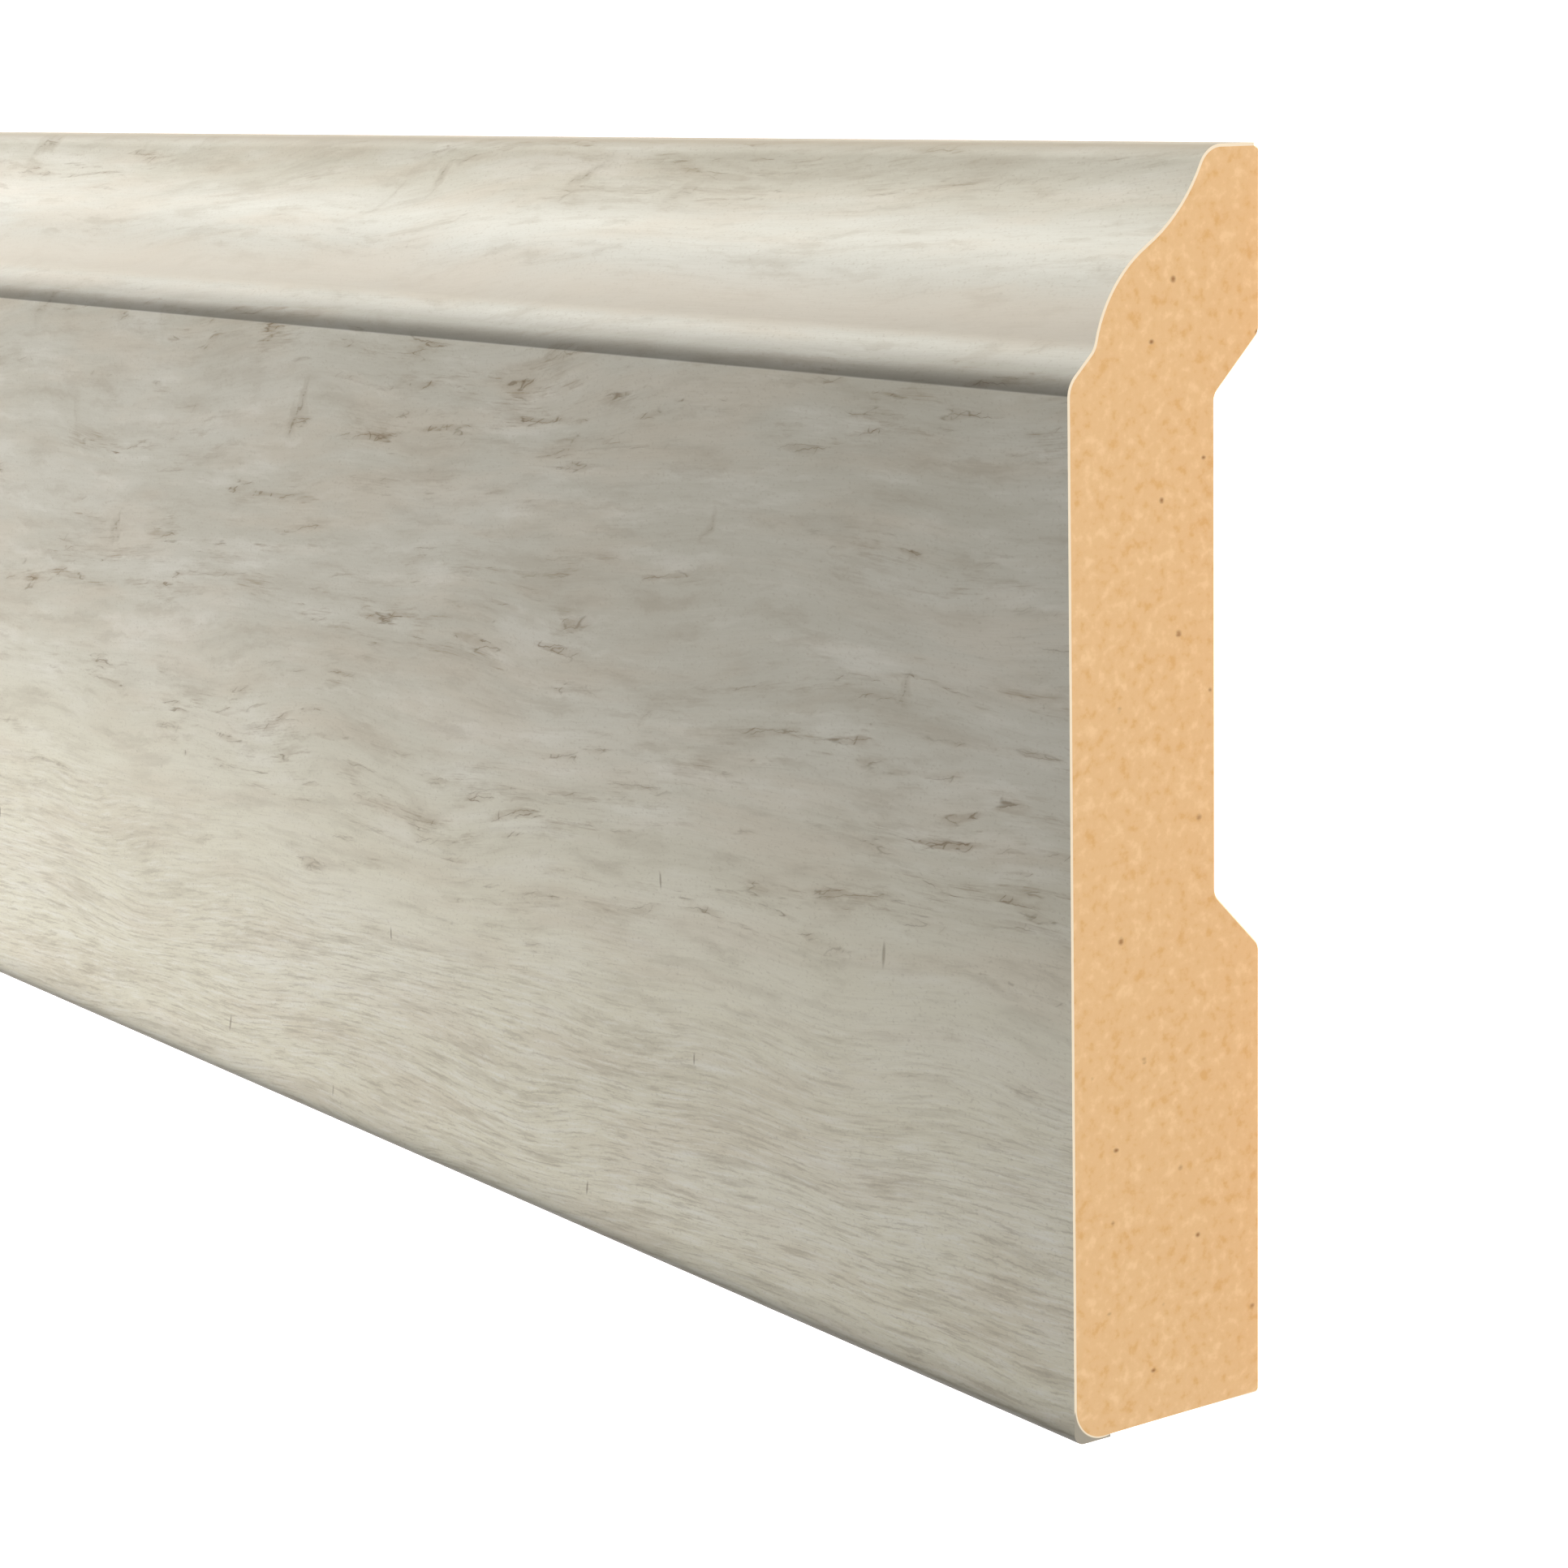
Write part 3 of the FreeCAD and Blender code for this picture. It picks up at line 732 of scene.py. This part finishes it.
def lay_brush_marks(coats, look, rough_place, fine, weathered):
    """A few brush marks and knots that slant across the grain, each with a soft side."""
    tree = coats.tree
    bent_place = ragged(tree, rough_place, 5.0, 8.0, 21)
    slanted, random = scattered_marks(tree, bent_place, (17.0, 10.0), 0.65, 0.55, 14)
    picked = share_of(tree, random, 0.62, 0.90, within=[weathered])
    in_fibres = share_of(tree, fine, 0.42, 0.58)
    coats.lay(look.bare, away_from_middle(tree, slanted, 10.0, 3.4), 1.0, 0.2, 0.40, [picked])
    coats.lay(look.crack, away_from_middle(tree, slanted, 8.0, 0.7), 1.0, 0.2, 0.46,
              [picked, in_fibres])


def lay_combed_grain(coats, look, grain, combed):
    """Bands of bare wood and of limewash with torn edges, and fine combed lines in them."""
    frayed = ragged(coats.tree, grain, 0.5, 0.22, 19)
    band = cloud(coats.tree, frayed, (12, 1.1, 1), 14, detail=5, roughness=0.6)
    coats.lay(look.bare, band, 0.50, 0.64, 0.26, [combed])
    coats.lay(look.limewash, band, 0.47, 0.34, 0.28, [combed])
    comb = cloud(coats.tree, frayed, (4.6, 0.30, 1), 15, detail=4, roughness=0.65)
    coats.lay(look.limewash, comb, 0.51, 0.66, 0.46, [combed])
    coats.lay(look.bare, comb, 0.49, 0.35, 0.42, [combed])


def lay_grit_and_ticks(coats, look, place, rise):
    """Grit all over, coarser than the real print's so that it shows, and sparse upright ticks."""
    tree = coats.tree
    grit = cloud(tree, place, (0.34, 0.20, 1), 18, detail=2)
    coats.lay(look.bare, grit, 0.55, 0.78, 0.30)
    low_down = share_of(tree, rise, 34.0, 28.0)
    ticks, random = scattered_marks(tree, place, (21, 13), 1.45, 0.2, 15)
    picked = share_of(tree, random, 0.66, 0.80, within=[low_down])
    coats.lay(look.crack, away_from_middle(tree, ticks, 2.8, 0.6), 1.0, 0.35, 0.6, [picked])


def lay_painted_shade_and_light(coats, look, rise, marks):
    """Painted shade under the lip, along the foot and on the nosing in bare wood colour, and painted
    light in the quirk.
    """
    lip_start = marks["lip"][0]
    quirk_start, quirk_end = marks["quirk"]
    nosing_start = marks["hollow"][1]
    # painted shade under the lip, darkest in the crease where the lip meets the flat face
    over_crease = share_of(coats.tree, rise, lip_start + 0.08, lip_start + 0.22)
    for reach, most in ((2.9, 0.42), (1.7, 0.29)):
        coats.lay(look.painted_shade, rise, lip_start + reach, lip_start, most, [over_crease])
    # painted shade on the land between lip and quirk, which faces the lights
    coats.lay(look.painted_shade, rise, quirk_start + 0.4, lip_start + 1.8, 0.24, [over_crease])
    # painted light pales the quirk above it against its shade, and painted shade darkens the nosing in
    # bare wood colour and a little of the dark shade colour
    painted_light_fade = share_of(coats.tree, rise, quirk_end + 4.4, quirk_end + 0.8)
    coats.lay(look.quirk, rise, quirk_start, quirk_end, 0.65, [painted_light_fade])
    coats.lay(look.bare, rise, nosing_start + 0.2, nosing_start + 1.7, 0.9)
    coats.lay(look.painted_shade, rise, nosing_start, nosing_start + 1.0, 0.12)
    # the same painted shade, faint higher up, gets darker round the foot
    for upper, lower, most in ((2.6, 0.2, 0.20), (0.6, -0.4, 0.50), (-0.3, -0.9, 0.92)):
        coats.lay(look.painted_shade, rise, upper, lower, most)


def decor_foil(look, marks):
    """Printed decor paper under matt lacquer, wrapped over the moulding.

    The print shows limewashed, weathered oak: it gives the eye a warm greige with long soft
    fibres, beige and whitish smears, rows of short dark cracks, and plain combed grain near the
    foot. Painted shade lies under the lip, on the nosing and round the foot, painted light in the
    quirk, and a painted highlight on the belly. The lacquer gives a soft sheen along the ogee.
    """
    material, tree, shader = new_material("matt_lacquered_decor_paper", {
        "Roughness": 0.5, "IOR": 1.5, "Specular IOR Level": 0.25})
    marks = {name: (PER_METRE * first, PER_METRE * last) for name, (first, last) in marks.items()}
    place = print_place(tree)
    rise = add(tree, "ShaderNodeSeparateXYZ", {0: place}, out="Y")
    grain = climbing_grain(tree, place)
    weathered, combed, belly = print_zones(tree, place, rise, marks)

    coats = Coats(tree, look.ground)
    lay_broad_tones(coats, look, grain, rise, belly, marks["belly"][1])
    patch = lay_smears(coats, look, grain, weathered, belly)
    coarse, fine = lay_fibres(coats, look, grain)
    crowded = lay_streaks(coats, look, grain, rise, weathered, patch, marks)
    rough_place = ragged(tree, ragged(tree, grain, 3.0, 0.8, 16), 0.5, 0.25, 17)
    lay_cracks(coats, look, grain, rough_place, crowded)
    lay_brush_marks(coats, look, rough_place, fine, weathered)
    lay_combed_grain(coats, look, grain, combed)
    lay_grit_and_ticks(coats, look, place, rise)
    lay_painted_shade_and_light(coats, look, rise, marks)
    tree.links.new(coats.colour, shader.inputs["Base Color"])

    # the lacquer is lightly embossed with the fibres
    depth = add(tree, "ShaderNodeMath", {0: coarse, 1: fine}, operation="ADD")
    bump = add(tree, "ShaderNodeBump", {"Strength": 0.15, "Distance": 0.05 * MM, "Height": depth})
    tree.links.new(bump, shader.inputs["Normal"])
    return material


def foil_cut(look, sizes):
    """The wrap where the saw cut it: a cream paper line, and grey glue in the foot's corner."""
    material, tree, shader = new_material("sawn_decor_paper_edge", {"Roughness": 0.8})
    bend = sizes.core_foot_radius
    inset = sizes.wrap_thickness + bend
    centre = (0, inset - sizes.board_height / 2, sizes.board_thickness - inset)
    place = add(tree, "ShaderNodeTexCoord", {}, out="Object")
    across = add(tree, "ShaderNodeVectorMath", {0: place, 1: (0, 1, 1)}, operation="MULTIPLY")
    away = add(tree, "ShaderNodeVectorMath", {0: across, 1: centre}, out="Value",
               operation="DISTANCE")
    up = add(tree, "ShaderNodeSeparateXYZ", {0: place}, out="Y")
    in_corner = share_of(tree, up, centre[1], centre[1] - 0.4 * MM)
    coats = Coats(tree, look.cut_edge)
    coats.lay(look.glue_bead, away, bend + 0.06 * MM, bend + 0.14 * MM, 1.0, [in_corner])
    tree.links.new(coats.colour, shader.inputs["Base Color"])
    return material


def sawn_fibreboard(look):
    """Medium-density fibreboard cut by a fine saw and sanded: orange tan, softly mottled."""
    material, tree, shader = new_material("sawn_fibreboard", {
        "Roughness": 0.85, "Specular IOR Level": 0.25})
    place = board_place(tree)
    clump = cloud(tree, place, (0.95, 0.95, 0.95), 21, detail=4, roughness=0.6)
    coats = Coats(tree, look.ground)
    coats.lay(look.pale_fibre, clump, 0.50, 0.72, 0.7)
    coats.lay(look.dark_fibre, clump, 0.48, 0.28)
    # bark specks and pale fibre bundles, each in some of the cells of a loose scatter
    for pigment, cell, seed, largest, strength in (
            (look.speck, 2.9, 1, 0.19, 0.9),
            (look.fuzz_and_edge_highlight, 2.4, 2, 0.15, 0.2),
            (look.speck, 1.1, 3, 0.20, 0.6)):
        offset = add(tree, "ShaderNodeMapping",
                     {"Vector": place, "Location": [seed] * 3, "Scale": [1 / cell] * 3})
        near_by = ragged(tree, offset, 0.25, 0.25, seed)
        cells = add(tree, "ShaderNodeTexVoronoi", {"Vector": near_by, "Scale": 1.0}).node
        chosen = add(tree, "ShaderNodeSeparateColor", {0: cells.outputs["Color"]})
        radius = add(tree, "ShaderNodeMapRange",
                     {"Value": chosen, "From Min": 0.4, "To Max": largest})
        inside = add(tree, "ShaderNodeMath", {0: radius, 1: cells.outputs["Distance"]},
                     operation="SUBTRACT")
        coats.lay(pigment, inside, -0.02, 0.08, strength)
    tree.links.new(coats.colour, shader.inputs["Base Color"])
    return material


def planed_fibreboard(look, sizes):
    """The machined back: a browner, tighter skin than the sawn end, with a pale band along the saw cut,
    partly fuzz and partly a painted highlight.
    """
    material, tree, shader = new_material("planed_fibreboard", {"Roughness": 0.75})
    place = board_place(tree)
    fibre = cloud(tree, place, (3.0, 0.8, 0.8), 31, detail=4, roughness=0.6)
    coats = Coats(tree, look.planed)
    coats.lay(look.dark_fibre, fibre, 0.4, 0.7)
    along = add(tree, "ShaderNodeSeparateXYZ", {0: place})
    from_middle = add(tree, "ShaderNodeMath", {0: along}, operation="ABSOLUTE")
    cut = PER_METRE * sizes.board_length / 2
    bevel_width = PER_METRE * sizes.sawn_easing
    # pale band on the sawn bevel: fuzz of the cut and a painted highlight
    coats.lay(look.fuzz_and_edge_highlight, from_middle, cut - 2 * bevel_width, cut - bevel_width)
    tree.links.new(coats.colour, shader.inputs["Base Color"])
    return material


def matt_floor(look):
    """A matt white floor lit a little from under, so that it reads white round the shadow."""
    return new_material("matt_white_floor", {
        "Base Color": look.floor, "Roughness": 0.9, "Specular IOR Level": 0.0,
        "Emission Color": (1, 1, 1, 1), "Emission Strength": look.floor_glow})[0]


def set_floor(scene, look):
    """One wide square under the board's back pads."""
    half = look.floor_size / 2
    ground = bpy.data.meshes.new("floor")
    corners = [(-half, -half, 0), (half, -half, 0), (half, half, 0), (-half, half, 0)]
    ground.from_pydata(corners, [], [(0, 1, 2, 3)])
    ground.materials.append(matt_floor(look))
    floor = bpy.data.objects.new("floor", ground)
    scene.collection.objects.link(floor)


def softbox(scene, name, place, aim, size, power):
    """A rectangular light that faces a point and that no picture shows."""
    lamp = bpy.data.lights.new(name, "AREA")
    lamp.shape = "RECTANGLE"
    lamp.size, lamp.size_y = size
    lamp.energy = power
    box = bpy.data.objects.new(name, lamp)
    scene.collection.objects.link(box)
    facing = (Vector(aim) - Vector(place)).to_track_quat("-Z", "Y").to_matrix().to_4x4()
    box.matrix_world = Matrix.Translation(place) @ facing
    box.visible_camera = False


def set_lights(scene, look, near):
    """Three softboxes that run the board's length, and one that faces its near sawn end."""
    for name, ahead, beside, height, size, power in (
            ("top_softbox", -1.2, -0.08, 0.20, (2.24, 0.1), look.top_light),
            ("high_softbox", -1.2, -0.05, 0.45, (2.3, 0.3), look.high_light),
            ("edge_softbox", -1.2, 0.60, 0.15, (2.8, 0.2), look.edge_light),
            ("end_softbox", 0.5, 0.60, 0.30, (0.4, 0.4), look.end_light)):
        softbox(scene, name, (near + ahead, beside, height),
                (near + min(ahead, 0.0), 0.0, 0.0), size, power)


def set_room(scene, look):
    """A room with a pale horizon under a darker ceiling."""
    # heights on the unit sphere round the board: there the wall ends, and the ceiling starts
    wall_end, ceiling_start = 0.22, 0.42
    world = bpy.data.worlds.new("room")
    world.use_nodes = True
    tree = world.node_tree
    facing = add(tree, "ShaderNodeTexCoord", {})
    height = add(tree, "ShaderNodeSeparateXYZ", {0: facing}, out="Z")
    wall = add(tree, "ShaderNodeMapRange",
               {"Value": height, "From Min": wall_end, "From Max": ceiling_start,
                "To Min": look.horizon, "To Max": look.ceiling})
    backdrop = tree.nodes["Background"]
    backdrop.inputs["Color"].default_value = (1, 1, 1, 1)
    tree.links.new(wall, backdrop.inputs["Strength"])
    scene.world = world
    scene.view_settings.view_transform = "Standard"


def set_camera(scene, look, near):
    """The photograph's camera, which looks along the board from beyond its near end."""
    lens = bpy.data.cameras.new("camera")
    lens.lens = look.lens
    lens.sensor_width = 36
    lens.shift_y = look.frame_shift
    lens.clip_start = 10 * MM
    lens.clip_end = 100
    yaw, pitch, roll = look.camera_yaw, look.camera_pitch, look.camera_roll
    sight = Vector((-math.cos(pitch) * math.cos(yaw), -math.sin(pitch),
                    -math.cos(pitch) * math.sin(yaw)))
    level = sight.cross(Vector((0, 1, 0))).normalized()
    above = level.cross(sight)
    right = level * math.cos(roll) - above * math.sin(roll)
    up = above * math.cos(roll) + level * math.sin(roll)
    place = Vector((near + look.camera_ahead, look.camera_up, look.camera_above))
    camera = bpy.data.objects.new("camera", lens)
    turned = Matrix((right, up, -sight)).transposed().to_4x4()
    camera.matrix_world = Matrix.Translation(place) @ turned
    scene.collection.objects.link(camera)
    scene.camera = camera


class SKIRTING_OT_core(bpy.types.Operator):
    """Make the fibreboard core, with its moulded side and its relieved back"""

    bl_idname = "skirting.core"
    bl_label = "Fibreboard core"

    def execute(self, context):
        sizes = context.scene.skirting_section
        look = context.scene.skirting_core_look
        piece = swept_piece("fibreboard_core", core_outline(sizes), sizes,
                            planed_fibreboard(look, sizes), sawn_fibreboard(look))
        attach(piece, "root")
        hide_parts("mdf_core")
        return {"FINISHED"}


class SKIRTING_OT_wrap(bpy.types.Operator):
    """Make the decor wrap over the moulded side"""

    bl_idname = "skirting.wrap"
    bl_label = "Decor wrap"

    def execute(self, context):
        sizes = context.scene.skirting_section
        look = context.scene.skirting_decor_look
        rounds = wrap_outline(sizes)
        marks = join_rounds(rounds)[2]
        piece = swept_piece("decor_skin", rounds, sizes, decor_foil(look, marks),
                            foil_cut(look, sizes))
        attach(piece, "root")
        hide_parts("decor_wrap")
        return {"FINISHED"}


class SKIRTING_OT_stage(bpy.types.Operator):
    """Set the floor, the lights, the room and the camera"""

    bl_idname = "skirting.stage"
    bl_label = "Stage"

    def execute(self, context):
        scene = context.scene
        look = scene.skirting_stage_look
        near = cad_high.x
        set_floor(scene, look)
        set_lights(scene, look, near)
        set_room(scene, look)
        set_camera(scene, look, near)
        return {"FINISHED"}


class SKIRTING_PT_panel(bpy.types.Panel):
    """The board's pieces and its stage, in the sidebar"""

    bl_label = "Skirting board length"
    bl_idname = "SKIRTING_PT_panel"
    bl_space_type = "VIEW_3D"
    bl_region_type = "UI"
    bl_category = "Skirting"

    def draw(self, context):
        for operator in OPERATORS:
            self.layout.operator(operator.bl_idname)
        for group in GROUPS:
            column = self.layout.column(align=True)
            settings = getattr(context.scene, group)
            for name in settings.bl_rna.properties.keys():
                if name not in ("rna_type", "name"):
                    column.prop(settings, name)


GROUPS = {
    "skirting_section": SectionSizes,
    "skirting_decor_look": DecorLook,
    "skirting_core_look": CoreLook,
    "skirting_stage_look": StageLook,
}
OPERATORS = (SKIRTING_OT_core, SKIRTING_OT_wrap, SKIRTING_OT_stage)
CLASSES = (*GROUPS.values(), *OPERATORS, SKIRTING_PT_panel)


def register():
    """Make the operators, the panel and the settings known to the application."""
    for made in CLASSES:
        bpy.utils.register_class(made)
    for name, group in GROUPS.items():
        setattr(bpy.types.Scene, name, PointerProperty(type=group))


def unregister():
    """Take them all away again."""
    for name in GROUPS:
        delattr(bpy.types.Scene, name)
    for made in reversed(CLASSES):
        bpy.utils.unregister_class(made)


def main():
    """Build the board and its stage."""
    register()
    bpy.ops.skirting.stage()
    bpy.ops.skirting.core()
    bpy.ops.skirting.wrap()


if __name__ == "__main__":
    main()
